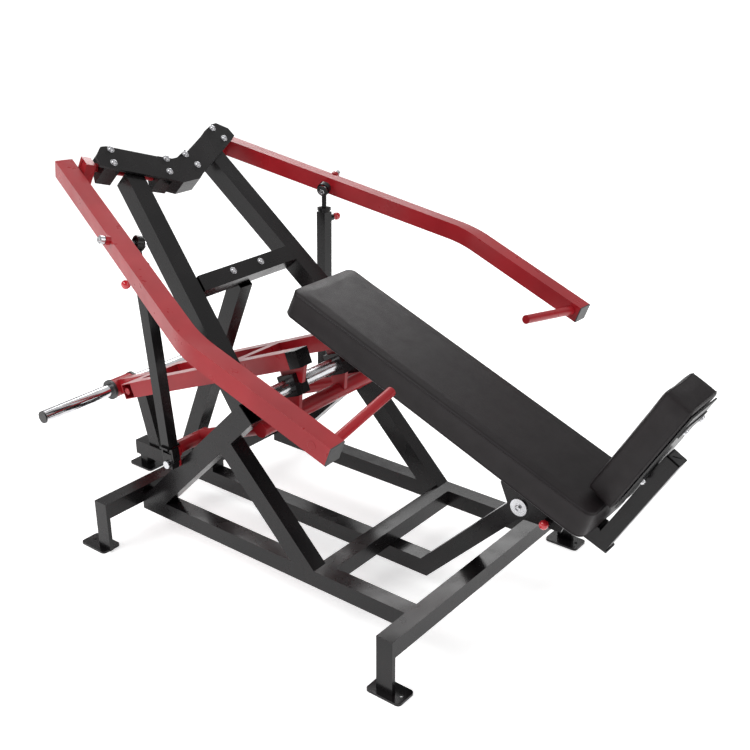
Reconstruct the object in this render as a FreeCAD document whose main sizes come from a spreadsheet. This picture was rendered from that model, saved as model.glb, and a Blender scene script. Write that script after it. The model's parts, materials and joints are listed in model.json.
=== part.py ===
import FreeCAD, Part
import math
import os

# Plate-loaded incline press machine with two converging press arms, two
# adjustable struts, one weight lever with a loading horn on each side, and
# a long reclined bench with a block seat at its low end.
# Frame: +X from the loading horns to the seat, +Y to the user's left,
# +Z up, origin on the floor under the middle of the machine.
# Sizes are in millimetres.

doc = FreeCAD.newDocument("press_machine")
sheet = doc.addObject("Spreadsheet::Sheet", "Dims")
V = FreeCAD.Vector
dims = {}
nodes = []


def dim(alias, value):
    row = len(dims) + 1
    sheet.set("A%d" % row, alias)
    sheet.set("B%d" % row, repr(float(value)))
    sheet.setAlias("B%d" % row, alias)
    dims[alias] = float(value)
    return dims[alias]


# ---------------------------------------------------------------- dimensions
origin_x = dim("origin_shift", 592.3)
floor_gap = dim("plate_thick", 8.0)
base = dim("base_tube", 60.0)
wall = dim("tube_wall", 3.0)
brace_w = dim("brace_width", 76.0)
leg_w = dim("leg_width", 70.0)
arm_w = dim("arm_tube", 60.0)
seat_leg_d = dim("seat_leg_depth", 48.0)
strut_w = dim("strut_tube", 40.0)
lever_w = dim("lever_tube", 60.0)
shaft_r = dim("shaft_radius", 15.0)
run_gap = dim("running_gap", 0.05)
bolt_r = dim("bolt_radius", 6.0)
head_r = dim("bolt_head_radius", 10.0)
head_z = dim("bolt_head_height", 6.0)
washer_r = dim("washer_radius", 13.0)
washer_z = dim("washer_thick", 2.0)
horn_r = dim("horn_radius", 25.0)
horn_len = dim("horn_length", 325.0)
handle_r = dim("handle_radius", 15.0)
handle_len = dim("handle_length", 285.0)
knob_r = dim("knob_radius", 15.0)
hinge_r = dim("hinge_tube_radius", 25.0)
hub_r = dim("hinge_hub_radius", 38.0)
pad_w = dim("bench_pad_width", 320.0)
pad_t = dim("bench_pad_thick", 103.0)
pad_l = dim("bench_pad_length", 1215.0)
seat_w = dim("seat_pad_width", 180.0)
seat_t = dim("seat_pad_thick", 96.0)
seat_l = dim("seat_pad_length", 458.0)
pivot_r = dim("bench_axle_radius", 14.0)
rod_end_bore = dim("rod_end_bore", 17.5)
foot_hole = dim("foot_hole_radius", 6.5)
doc.recompute()


def P(x, y, z):
    return V(x + origin_x, y, z)


def frame(origin, xdir, zhint):
    # placement whose local X runs along xdir and local Z leans to zhint
    ex = V(xdir).normalize()
    ey = V(zhint).cross(ex).normalize()
    ez = ex.cross(ey).normalize()
    m = FreeCAD.Matrix(ex.x, ey.x, ez.x, origin.x,
                       ex.y, ey.y, ez.y, origin.y,
                       ex.z, ey.z, ez.z, origin.z,
                       0, 0, 0, 1)
    return FreeCAD.Placement(m)


def moved(place, dx, dy, dz):
    shift = FreeCAD.Placement(V(dx, dy, dz), FreeCAD.Rotation())
    return place.multiply(shift)


def bound(obj, prop, expr):
    # a string is a formula over the sheet, a number is a plain size
    if isinstance(expr, str):
        obj.setExpression(prop, expr)
    else:
        setattr(obj, prop, float(expr))


def block(name, lx, ly, lz, place):
    obj = doc.addObject("Part::Box", name)
    bound(obj, "Length", lx)
    bound(obj, "Width", ly)
    bound(obj, "Height", lz)
    obj.Placement = place
    return obj


def rod(name, radius, length, origin, axis):
    obj = doc.addObject("Part::Cylinder", name)
    bound(obj, "Radius", radius)
    bound(obj, "Height", length)
    turn = FreeCAD.Rotation(V(0, 0, 1), V(axis))
    obj.Placement = FreeCAD.Placement(origin, turn)
    return obj


def cut(name, body, tool):
    obj = doc.addObject("Part::Cut", name)
    obj.Base = body
    obj.Tool = tool
    return obj


def fuse(name, parts):
    obj = doc.addObject("Part::MultiFuse", name)
    obj.Shapes = parts
    return obj


def node(obj, label):
    obj.Label = label
    nodes.append(obj)
    return obj


def half_space(name, point, normal, size=900.0):
    # a big block on the side of a plane that the normal points to
    n = V(normal).normalize()
    hint = V(0, 0, 1)
    if abs(n.z) > 0.9:
        hint = V(0, 1, 0)
    place = moved(frame(point, n, hint), 0, -size / 2, -size / 2)
    return block(name, size, size, size, place)


def tube(label, start, end, w_alias, h_alias, hint, trims=(), grow=0.0, solid=False):
    # square or rectangular tube between two points on its centre line
    direction = end.sub(start)
    length = direction.Length
    unit = V(direction).normalize()
    start = start.sub(V(unit).multiply(grow))
    key = label + "_run"
    dim(key, length + 2 * grow)
    base_place = frame(start, direction, hint)
    w = dims[w_alias]
    h = dims[h_alias]
    outer = block(label + "_outer", "Dims." + key, "Dims." + w_alias, "Dims." + h_alias,
                  moved(base_place, 0, -w / 2, -h / 2))
    current = outer
    if not solid:
        inner = block(label + "_inner", "Dims." + key + " + 2",
                      "Dims." + w_alias + " - 2 * Dims.tube_wall",
                      "Dims." + h_alias + " - 2 * Dims.tube_wall",
                      moved(base_place, -1, wall - w / 2, wall - h / 2))
        current = cut(label + "_hollow", outer, inner)
    for index, trim in enumerate(trims):
        knife = half_space("%s_knife_%d" % (label, index), trim[0], trim[1])
        current = cut("%s_trim_%d" % (label, index), current, knife)
    return current


def bolt_parts(prefix, seat, axis, grip=14.0):
    # domed bolt head on a washer, with its shank going into the work
    a = V(axis).normalize()
    made = []
    made.append(rod(prefix + "_washer", "Dims.washer_radius", "Dims.washer_thick", seat, a))
    top = seat.add(V(a).multiply(washer_z))
    cone = doc.addObject("Part::Cone", prefix + "_head")
    bound(cone, "Radius1", "Dims.bolt_head_radius")
    bound(cone, "Radius2", "Dims.bolt_head_radius * 0.62")
    bound(cone, "Height", "Dims.bolt_head_height")
    cone.Placement = FreeCAD.Placement(top, FreeCAD.Rotation(V(0, 0, 1), a))
    made.append(cone)
    return made


def bolts(label, seats):
    parts = []
    for index, (seat, axis) in enumerate(seats):
        parts.extend(bolt_parts("%s_%d" % (label, index), seat, axis))
    return node(fuse(label + "_set", parts), label)


# ---------------------------------------------------------------- base frame
rail_y = dim("rail_offset", 352.0)
rail_z = dim("rail_bottom", 112.0)
spine_z = dim("spine_bottom", 52.0)
cross_z = dim("cross_bottom", 138.0)
rear_x = -1279.0
front_x = 0.0
mid_x = -407.0
half_front = 553.0
half_rear = 551.0
hb = base / 2

rail_top = rail_z + base
rail_c = rail_z + hb
cross_c = cross_z + hb
spine_c = spine_z + hb

end_t = dim("end_plate_thick", 15.0)
for along, half, tag in ((rear_x, half_rear, "rear"), (front_x, half_front, "front")):
    label = tag + "_crossbeam"
    node(tube(label, P(along, end_t - half, cross_c), P(along, half - end_t, cross_c),
              "base_tube", "base_tube", V(0, 0, 1)), label)
for side, word in ((-1, "right"), (1, "left")):
    node(tube("rail_" + word, P(rear_x + hb, side * rail_y, rail_c),
              P(front_x - hb, side * rail_y, rail_c),
              "base_tube", "base_tube", V(0, 0, 1)), "rail_" + word)
node(tube("mid_crossbeam", P(mid_x, -rail_y + hb, rail_c), P(mid_x, rail_y - hb, rail_c),
          "base_tube", "base_tube", V(0, 0, 1)), "mid_crossbeam")

# the spine lies under the middle beam and mitres into the bench post
post_dir = V(1, 0, 1).normalize()
knee = P(-232.0, 0, spine_c)
spine_rear = P(-1704.0, 0, spine_c)
knee_cut = V(math.cos(math.radians(22.5)), 0, math.sin(math.radians(22.5)))
node(tube("spine", spine_rear, knee, "base_tube", "base_tube", V(0, 0, 1),
          trims=((spine_rear, V(-1, 0, 0)), (knee, knee_cut)), grow=60.0), "spine")
pivot = P(130.0, 0, 452.0)
post_dir = pivot.sub(knee).normalize()
post_end = pivot.add(V(post_dir).multiply(32.0))
node(tube("bench_post_blank", knee, post_end, "base_tube", "base_tube", V(-1, 0, 1),
          trims=((knee, V(knee_cut).multiply(-1)),
                 (post_end, post_dir)), grow=60.0), "bench_post_blank")
blank = nodes.pop()
post_bore = rod("bench_post_bore", "Dims.bench_axle_radius + Dims.running_gap", 100.0,
                V(pivot.x, -50.0, pivot.z), V(0, 1, 0))
node(cut("bench_post_cut", blank, post_bore), "bench_post")

# end plates close the crossbeams and stand on the four outer floor plates
dim("end_plate_tall", cross_z + base - floor_gap)
for along, half, tag in ((rear_x, half_rear, "rear"), (front_x, half_front, "front")):
    for side, word in ((-1, "right"), (1, "left")):
        label = "foot_post_%s_%s" % (tag, word)
        y0 = half - end_t if side > 0 else -half
        node(block(label, "Dims.base_tube", "Dims.end_plate_thick", "Dims.end_plate_tall",
                   FreeCAD.Placement(P(along - hb, y0, floor_gap), FreeCAD.Rotation())),
             label)


def foot_plate(label, cx, cy, lx, ly, hole):
    key = label + "_long"
    dim(key, lx)
    key2 = label + "_wide"
    dim(key2, ly)
    place = FreeCAD.Placement(P(cx - lx / 2, cy - ly / 2, 0), FreeCAD.Rotation())
    slab = block(label + "_slab", "Dims." + key, "Dims." + key2, "Dims.plate_thick", place)
    soft = doc.addObject("Part::Fillet", label + "_round")
    soft.Base = slab
    doc.recompute()
    picks = []
    for index, edge in enumerate(slab.Shape.Edges):
        a = edge.Vertexes[0].Point
        b = edge.Vertexes[1].Point
        if abs(a.z - b.z) > 1:
            picks.append((index + 1, 14.0, 14.0))
    soft.Edges = picks
    current = soft
    for number, spot in enumerate(hole):
        drill = rod("%s_drill_%d" % (label, number), "Dims.foot_hole_radius",
                    "Dims.plate_thick + 4", P(spot[0], spot[1], -2), V(0, 0, 1))
        current = cut("%s_bored_%d" % (label, number), current, drill)
    return node(current, label)


for side, word in ((-1, "right"), (1, "left")):
    yc = side * (half_front - 19.0)
    foot_plate("foot_plate_front_" + word, front_x + 7.0, yc, 128.0, 80.0,
               ((front_x + 50.0, yc),))
    yc = side * (half_rear - 19.0)
    foot_plate("foot_plate_rear_" + word, rear_x - 47.0, yc, 128.0, 80.0,
               ((rear_x - 80.0, yc),))
foot_plate("foot_plate_tail", -1672.0, 0.0, 128.0, 92.0, ())
node(tube("tail_post", P(-1672.0, 0, floor_gap), P(-1672.0, 0, spine_z),
          "strut_tube", "strut_tube", V(1, 0, 0)), "tail_post")
# saddle between the spine and the rear crossbeam
saddle_z = dim("saddle_height", cross_z - spine_z - base)
node(block("rear_saddle", "Dims.base_tube", "Dims.base_tube", "Dims.saddle_height",
           FreeCAD.Placement(P(rear_x - hb, -hb, spine_z + base), FreeCAD.Rotation())),
     "rear_saddle")

# ---------------------------------------------------------------- side braces
rise = V(1, 0, 1).normalize()
fall = V(1, 0, -1).normalize()
brace_half = brace_w / 2
for side, word in ((-1, "right"), (1, "left")):
    yc = side * rail_y
    label = "rear_brace_" + word
    low = P(-1060.0, yc, 290.0).sub(V(rise).multiply(200.0))
    high = P(-697.5, yc, 652.5)
    node(tube(label, low, high, "base_tube", "brace_width", V(-1, 0, 1),
              trims=((P(-1100.0, yc, rail_top), V(0, 0, -1)),)), label)
    label = "front_brace_" + word
    top = P(-795.0, yc, 498.0).sub(V(fall).multiply(60.0))
    foot = P(-469.0, yc, 172.0).add(V(fall).multiply(70.0))
    under = P(-870.0, yc, 480.0).add(V(1, 0, -1).normalize().multiply(brace_half))
    node(tube(label, top, foot, "base_tube", "leg_width", V(1, 0, 1),
              trims=((P(-469.0, yc, rail_top), V(0, 0, -1)),
                     (under, V(-1, 0, 1)))), label)

# ---------------------------------------------------------------- tower
slope = V(504.0, 0, -500.0)
plane_n = V(500.0, 0, 504.0).normalize()
leg_up = V(-504.0, 0, 500.0).normalize()
leg_stop = P(-1329.0, 0, 1282.0).add(V(leg_up).multiply(50.0))
for side, word in ((-1, "right"), (1, "left")):
    label = "tower_leg_" + word
    low = P(-753.5, side * 326.8, 653.5)
    high = P(-1422.0, side * 190.5, 1317.0)
    over = P(-780.0, side * 326.8, 570.0).add(V(-1, 0, 1).normalize().multiply(brace_half))
    node(tube(label, low, high, "leg_width", "leg_width", plane_n,
              trims=((over, V(1, 0, -1)), (leg_stop, leg_up)), grow=60.0), label)

# the plane of the tower's front faces carries the yoke and the crossbar
face_q = P(-1329.0, 0, 1282.0)
up_v = V(-504.0, 0, 500.0).normalize()


def on_face(y, v, out=0.0):
    p = face_q.add(V(up_v).multiply(v)).add(V(plane_n).multiply(out))
    return V(p.x, y, p.z)


bar_v = -420.0


def leg_inner_y(v):
    # inner side of the leg at a station up the tower face
    p = on_face(0, v)
    t = (p.z - 653.5) / (1317.0 - 653.5)
    return 326.8 + t * (190.5 - 326.8) - leg_w / 2


bar_half = leg_inner_y(bar_v) + 40.0
bar_c = on_face(0, bar_v, -hb - 1.0)
lean_in = math.atan2(326.8 - 190.5, math.hypot(668.5, 663.5))
knives = []
for side in (-1, 1):
    edge = V(bar_c.x, side * leg_inner_y(bar_v), bar_c.z)
    outward = V(0, side, 0)
    outward = outward.add(V(up_v).multiply(math.tan(lean_in)))
    knives.append((edge, outward))
node(tube("tower_crossbar", V(bar_c.x, -bar_half, bar_c.z), V(bar_c.x, bar_half, bar_c.z),
          "base_tube", "base_tube", plane_n, trims=knives), "tower_crossbar")
node(tube("rear_strut", P(-1424.0, 0, 102.0), P(-1062.0, 0, 946.0),
          "base_tube", "base_tube", V(-1, 0, 0.4),
          trims=((P(-1424.0, 0, spine_z + base), V(0, 0, -1)),
                 (bar_c.sub(V(plane_n).multiply(hb)), plane_n)), grow=40.0), "rear_strut")
bolts("crossbar_bolts", [(on_face(s * 68.7, bar_v + 6, -1.0), plane_n) for s in (-1, 1)])

# yoke: one wing plate per side, meeting at the middle
yoke_t = dim("yoke_thick", 10.0)


def plate(label, points, out0, thick):
    wire = Part.makePolygon([on_face(y, v, out0) for y, v in points + points[:1]])
    shape = Part.Face(wire).extrude(V(plane_n).multiply(thick))
    return shape


yoke_left = [(0.0, 56.0), (30.0, 56.0), (250.0, 158.0), (272.0, 160.0), (312.0, 128.0),
             (318.0, 92.0), (292.0, 76.0), (66.0, -30.0), (40.0, -46.0), (0.0, -46.0)]
yoke_pts = yoke_left + [(-y, v) for y, v in reversed(yoke_left[1:-1])]
yoke = doc.addObject("Part::Feature", "yoke_plate")
yoke.Shape = plate("yoke_plate", yoke_pts, 0.0, yoke_t)
node(yoke, "yoke_plate")

# pivot axes of the press arms
axis_w = V(-264.0, 924.0, 278.0).normalize()
axis_p = P(-1455.0, 251.0, 1319.0)
arm_u = V(904.0, 330.0, -270.0)
arm_u = arm_u.sub(V(axis_w).multiply(arm_u.dot(axis_w))).normalize()
arm_n = axis_w.cross(arm_u).normalize()


def mirror(v, side):
    return V(v.x, v.y * side, v.z)


def at(s, u, n, side=1):
    p = axis_p.add(V(axis_w).multiply(s))
    p = p.add(V(arm_u).multiply(u)).add(V(arm_n).multiply(n))
    return mirror(p, side)


house_l = dim("housing_length", 56.0)
house_w = dim("housing_width", 84.0)
for side, word in ((-1, "right"), (1, "left")):
    w_dir = mirror(axis_w, side)
    seats = []
    for spot, s0 in (("outer", 0.0), ("inner", -211.0)):
        label = "bearing_%s_%s" % (spot, word)
        centre = at(s0, 0, 0, side)
        place = frame(centre.sub(V(w_dir).multiply(house_l / 2)), w_dir, plane_n)
        distance = face_q.sub(centre).dot(plane_n)
        dim(label + "_tall", distance + 32.0)
        body = block(label + "_body", "Dims.housing_length", "Dims.housing_width",
                     "Dims." + label + "_tall", moved(place, 0, -house_w / 2, -32.0))
        bore = rod(label + "_bore", "Dims.shaft_radius + Dims.running_gap",
                   "Dims.housing_length + 20",
                   centre.sub(V(w_dir).multiply(house_l / 2 + 10)), w_dir)
        bored = cut(label + "_cut", body, bore)
        face_pt = V(face_q.x, centre.y, face_q.z)
        skim = half_space(label + "_skim", face_pt, plane_n)
        node(cut(label + "_skimmed", bored, skim), label)
        side_dir = w_dir.cross(plane_n).normalize()
        for sign in (-1, 1):
            p = centre.add(V(side_dir).multiply(sign * 28.0))
            p = p.add(V(plane_n).multiply(face_q.sub(p).dot(plane_n) + yoke_t))
            seats.append((p, plane_n))
    bolts("yoke_bolts_" + word, seats)

# gusset behind the yoke's middle, between the legs
gusset = doc.addObject("Part::Feature", "yoke_gusset")
tri = [(-74.0, -26.0), (74.0, -26.0), (40.0, -46.0), (-40.0, -46.0)]
gusset.Shape = Part.Face(Part.makePolygon(
    [on_face(y, v, -60.0) for y, v in tri + tri[:1]])).extrude(V(plane_n).multiply(60.0))
node(gusset, "yoke_gusset")

# ---------------------------------------------------------------- press arms


def square_ring(point, direction, up, half):
    # closed square outline across a tube, with one side facing up
    across = up.cross(direction).normalize()
    corners = []
    for a, b in ((-1, -1), (1, -1), (1, 1), (-1, 1)):
        corners.append(point.add(V(across).multiply(a * half)).add(V(up).multiply(b * half)))
    return Part.makePolygon(corners + corners[:1])


def bent_run(label, knee, d1, d2, radius, size, thick):
    # hollow bend that leads one square tube into the next and takes up their twist
    turn = d1.getAngle(d2)
    setback = radius * math.tan(turn / 2)
    start = knee.sub(V(d1).multiply(setback))
    toward = d2.sub(V(d1).multiply(d1.dot(d2))).normalize()
    centre = start.add(V(toward).multiply(radius))
    normal = d1.cross(d2).normalize()
    rolls = []
    for way in (d1, d2):
        up = V(0, 0, 1).sub(V(way).multiply(way.z)).normalize()
        rolls.append(math.atan2(up.dot(way.cross(normal)), up.dot(normal)))
    rings = ([], [])
    for step in range(9):
        part = step / 8.0
        angle = turn * part
        way = V(d1).multiply(math.cos(angle)).add(V(toward).multiply(math.sin(angle)))
        spot = centre.sub(V(toward).multiply(radius * math.cos(angle)))
        spot = spot.add(V(d1).multiply(radius * math.sin(angle)))
        roll = rolls[0] + (rolls[1] - rolls[0]) * part
        up = V(normal).multiply(math.cos(roll)).add(way.cross(normal).multiply(math.sin(roll)))
        rings[0].append(square_ring(spot, way, up, size / 2))
        rings[1].append(square_ring(spot, way, up, size / 2 - thick))
    outer = Part.makeLoft(rings[0], True, False)
    inner = Part.makeLoft(rings[1], True, False)
    obj = doc.addObject("Part::Feature", label)
    obj.Shape = outer.cut(inner)
    return obj, setback


arm_s = 109.0
arm_n0 = 48.0
bend = P(-573.0, 703.0, 1023.0)
tip = P(-72.0, 679.0, 835.0)
arm_bend_r = dim("arm_bend_radius", 300.0)
shaft_from = -245.0
shaft_to = 77.0
for side, word in ((-1, "right"), (1, "left")):
    w_dir = mirror(axis_w, side)
    tail = at(arm_s, -68.0, arm_n0, side)
    knee_a = mirror(bend, side)
    end_a = mirror(tip, side)
    d1 = knee_a.sub(tail).normalize()
    d2 = end_a.sub(knee_a).normalize()
    label = "press_arm_" + word
    curve, setback = bent_run(label + "_bend", knee_a, d1, d2, arm_bend_r, arm_w, wall)
    before = knee_a.sub(V(d1).multiply(setback))
    after = knee_a.add(V(d2).multiply(setback))
    upper = tube(label + "_upper", tail, knee_a, "arm_tube", "arm_tube", V(0, 0, 1),
                 trims=((before, d1),
                        (tail, V(d1).multiply(-1))), grow=40.0)
    lower = tube(label + "_lower", knee_a, end_a, "arm_tube", "arm_tube", V(0, 0, 1),
                 trims=((after, V(d2).multiply(-1)),
                        (end_a, d2)), grow=40.0)
    joined = fuse(label + "_joined", [upper, curve, lower])
    # strut axle passes through the tube
    ax0 = at(20.0, 460.5, 40.0, side)
    ream = rod(label + "_ream", 8.0, 170.0, ax0, w_dir)
    node(cut(label + "_drilled", joined, ream), label)
    dim(label + "_cap_run", 4.0)
    cap_place = frame(end_a, d2, V(0, 0, 1))
    node(block("arm_cap_" + word, "Dims." + label + "_cap_run", "Dims.arm_tube",
               "Dims.arm_tube", moved(cap_place, 0, -arm_w / 2, -arm_w / 2)),
         "arm_cap_" + word)
    # bracket from the pivot shaft to the inner side of the arm
    centre = at(0, 0, 0, side)
    label = "arm_bracket_" + word
    place = frame(at(44.0, 0, 0, side), w_dir, V(arm_n.x, arm_n.y * side, arm_n.z))
    body = block(label + "_body", 34.6, 60.0, 98.0, moved(place, 0, -30.0, -20.0))
    bore = rod(label + "_bore", "Dims.shaft_radius", 80.0, at(30.0, 0, 0, side), w_dir)
    bored = cut(label + "_cut", body, bore)
    arm_box = doc.getObject("press_arm_%s_upper_outer" % word)
    node(cut(label + "_coped", bored, arm_box), label)
    dim("pivot_shaft_%s_run" % word, shaft_to - shaft_from)
    node(rod("pivot_shaft_" + word, "Dims.shaft_radius", "Dims.pivot_shaft_%s_run" % word,
             at(shaft_from, 0, 0, side), w_dir), "pivot_shaft_" + word)
    # straight hand grip from the arm's inner side, near its tip
    grip_0 = mirror(P(-100.0, 650.5, 846.0), side)
    grip_1 = mirror(P(-119.0, 367.6, 890.7), side)
    grip = grip_1.sub(grip_0)
    start = grip_0.sub(V(grip).normalize().multiply(3.0))
    stick = rod("grip_%s_rod" % word, "Dims.handle_radius", "Dims.handle_length + 3",
                start, grip)
    arm_box = doc.getObject("press_arm_%s_lower_outer" % word)
    node(cut("grip_%s_cut" % word, stick, arm_box), "grip_" + word)
    # axle, boss and cap nut of the strut's upper joint
    node(rod("strut_axle_" + word, 8.0, 158.0, ax0, w_dir), "strut_axle_" + word)
    boss = rod("axle_boss_%s_out" % word, 15.0, 16.0, at(arm_s + 31.5, 460.5, 40.0, side), w_dir)
    hole = rod("axle_boss_%s_in" % word, 8.0, 30.0, at(arm_s + 25.0, 460.5, 40.0, side), w_dir)
    node(cut("axle_boss_%s_ring" % word, boss, hole), "axle_boss_" + word)
    nut = rod("axle_nut_%s_out" % word, 13.0, 14.0, at(arm_s + 50.0, 460.5, 40.0, side), w_dir)
    hole = rod("axle_nut_%s_in" % word, 8.0, 24.0, at(arm_s + 45.0, 460.5, 40.0, side), w_dir)
    node(cut("axle_nut_%s_ring" % word, nut, hole), "axle_nut_" + word)

# ---------------------------------------------------------------- weight lever
hinge = P(-722.0, 0, 664.0)
lever_y = 121.0
lev_u = V(985.0, 0, 400.0).normalize()
lev_n = V(-400.0, 0, 985.0).normalize()


def lever_pt(x, y, drop=0.0):
    # point on the beams' centre line at station x, lowered square to it
    z = 350.0 + (x + 1802.0) * 400.0 / 985.0 - 32.5
    return P(x, y, z).sub(V(lev_n).multiply(drop))


beam_rear = -1541.0
beam_front = -672.0
end_block = dim("lever_end_block", 52.0)
lh = lever_w / 2
for side, word in ((-1, "right"), (1, "left")):
    beam_end = lever_pt(beam_front, side * lever_y).sub(V(lev_u).multiply(end_block))
    node(tube("lever_beam_" + word, lever_pt(beam_rear, side * lever_y), beam_end,
              "lever_tube", "lever_tube", lev_n), "lever_beam_" + word)
    node(block("lever_end_" + word, "Dims.lever_end_block", 60.0, 60.0,
               moved(frame(beam_end, lev_u, lev_n), 0, -30.0, -30.0)), "lever_end_" + word)
rear_c = lever_pt(beam_rear, 0).sub(V(lev_u).multiply(lh))
node(tube("lever_rear_tube", V(rear_c.x, -lever_y - lh, rear_c.z),
          V(rear_c.x, lever_y + lh, rear_c.z),
          "lever_tube", "lever_tube", lev_n), "lever_rear_tube")
mid_c = lever_pt(-1000.0, 0)
node(tube("lever_mid_tube", V(mid_c.x, -lever_y + lh, mid_c.z),
          V(mid_c.x, lever_y - lh, mid_c.z),
          "lever_tube", "lever_tube", lev_n), "lever_mid_tube")
horn_c = P(-1799.5, 0, 322.4)
stub_end = rear_c.sub(V(lev_u).multiply(lh))
boss_r = dim("horn_boss_radius", 38.0)
boss_half = dim("horn_boss_half", 50.0)
toward = horn_c.sub(stub_end).normalize()
node(tube("lever_stub", stub_end, horn_c.sub(V(toward).multiply(boss_r - 6.0)),
          "lever_tube", "lever_tube", lev_n,
          trims=((stub_end, lev_u),), grow=8.0), "lever_stub_tmp")
stub = nodes.pop()
boss_void = rod("lever_stub_void", "Dims.horn_boss_radius", 200.0,
                V(horn_c.x, -100.0, horn_c.z), V(0, 1, 0))
node(cut("lever_stub_cut", stub, boss_void), "lever_stub")
node(rod("horn_boss", "Dims.horn_boss_radius", "2 * Dims.horn_boss_half",
         V(horn_c.x, -boss_half, horn_c.z), V(0, 1, 0)), "horn_boss")
collar_r = dim("horn_collar_radius", 41.0)
collar_t = dim("horn_collar_thick", 12.0)
cap_t = dim("horn_cap_thick", 6.0)
for side, word in ((-1, "right"), (1, "left")):
    y0 = side * boss_half
    node(rod("horn_collar_" + word, "Dims.horn_collar_radius", "Dims.horn_collar_thick",
             V(horn_c.x, y0, horn_c.z), V(0, side, 0)), "horn_collar_" + word)
    y1 = side * (boss_half + collar_t)
    node(rod("horn_" + word, "Dims.horn_radius", "Dims.horn_length",
             V(horn_c.x, y1, horn_c.z), V(0, side, 0)), "horn_" + word)
    y2 = side * (boss_half + collar_t + horn_len)
    node(rod("horn_cap_" + word, "Dims.horn_radius - 0.4", "Dims.horn_cap_thick",
             V(horn_c.x, y2, horn_c.z), V(0, side, 0)), "horn_cap_" + word)

# hinge tube between the side frames, and the lever's hubs around it
hinge_half = rail_y - hb
current = rod("hinge_tube_full", "Dims.hinge_tube_radius", 2 * hinge_half,
              V(hinge.x, -hinge_half, hinge.z), V(0, 1, 0))
for word in ("right", "left"):
    current = cut("hinge_tube_cope_" + word, current,
                  doc.getObject("tower_leg_%s_outer" % word))
node(current, "hinge_tube")
low_c = P(-722.0, 0, 556.0)
lr = dim("lever_round_radius", 28.0)
low_half = 292.0
node(rod("lever_low_tube", "Dims.lever_round_radius", 2 * low_half,
         V(low_c.x, -low_half, low_c.z), V(0, 1, 0)), "lever_low_tube")
for side, word in ((-1, "right"), (1, "left")):
    y0 = side * lever_y - lh
    hub = block("hub_%s_out" % word, "2 * Dims.hinge_hub_radius", 2 * lh,
                "2 * Dims.hinge_hub_radius",
                moved(frame(V(hinge.x, y0, hinge.z), lev_u, lev_n), -hub_r, 0, -hub_r))
    bore = rod("hub_%s_in" % word, "Dims.hinge_tube_radius + Dims.running_gap", 2 * lh + 20,
               V(hinge.x, y0 - 10, hinge.z), V(0, 1, 0))
    node(cut("hub_%s_ring" % word, hub, bore), "lever_hub_" + word)
    # cheek plates: beam to hub above, hub to the low tube below
    cheek_lo = [(-34.0, -22.0), (34.0, -22.0), (28.0, -96.0), (-28.0, -96.0)]
    cheek_hi = [(-46.0, 18.0), (46.0, 18.0), (60.0, 96.0), (-80.0, 96.0)]
    for tag, outline in (("low", cheek_lo), ("high", cheek_hi)):
        pts = [V(hinge.x + a, side * lever_y - 8.0, hinge.z + b) for a, b in outline]
        prism = Part.Face(Part.makePolygon(pts + pts[:1])).extrude(V(0, 16.0, 0))
        hub_space = Part.makeBox(2 * hub_r, 100.0, 2 * hub_r)
        hub_space.Placement = moved(frame(V(hinge.x, side * lever_y - 50.0, hinge.z),
                                          lev_u, lev_n), -hub_r, 0, -hub_r)
        prism = prism.cut(hub_space)
        if tag == "low":
            prism = prism.cut(Part.makeCylinder(lr, 2 * low_half,
                                                V(low_c.x, -low_half, low_c.z),
                                                V(0, 1, 0)))
        else:
            start = lever_pt(beam_rear, side * lever_y, lh)
            knife = Part.makeBox(1400.0, 200.0, 400.0)
            knife.Placement = moved(frame(start, lev_u, lev_n), 0, -100.0, 0)
            prism = prism.cut(knife)
        web = doc.addObject("Part::Feature", "lever_web_%s_%s" % (tag, word))
        web.Shape = prism
        node(web, "lever_web_%s_%s" % (tag, word))
    # foot arm: a run forward to the low tube and an outrigger over the rail brace
    elbow = P(-1040.0, side * 262.0, 425.0)
    join = V(low_c.x, side * 262.0, low_c.z)
    along = join.sub(elbow)
    arm = rod("foot_run_%s_full" % word, "Dims.lever_round_radius - 4", 400.0, elbow, along)
    void = rod("foot_run_%s_void" % word, "Dims.lever_round_radius", 200.0,
               V(low_c.x, side * 262.0 - 100.0, low_c.z), V(0, 1, 0))
    far_knife = half_space("foot_run_%s_knife" % word, join, along)
    cleaned = cut("foot_run_%s_a" % word, arm, void)
    node(cut("foot_run_%s_b" % word, cleaned, far_knife), "foot_run_" + word)
    nodes.pop()
    run_obj = doc.getObject("foot_run_%s_b" % word)
    dim("outrigger_%s_run" % word, 142.0)
    y_in = side * 238.0
    out_rod = rod("outrigger_%s_rod" % word, "Dims.lever_round_radius - 4",
                  "Dims.outrigger_%s_run" % word, P(-1040.0, y_in, 425.0), V(0, side, 0))
    y_lug = 376.0 if side > 0 else -390.0
    lug_head = block("foot_lug_%s_head" % word, 36.0, 14.0, 34.0,
                     FreeCAD.Placement(P(-1058.0, y_lug, 402.0), FreeCAD.Rotation()))
    y_lug = 383.0 if side > 0 else -390.0
    lug_drop = block("foot_lug_%s_drop" % word, 36.0, 7.0, 60.0,
                     FreeCAD.Placement(P(-1058.0, y_lug, 362.0), FreeCAD.Rotation()))
    node(fuse("foot_arm_%s_all" % word, [run_obj, out_rod, lug_head, lug_drop]),
         "foot_arm_" + word)

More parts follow.
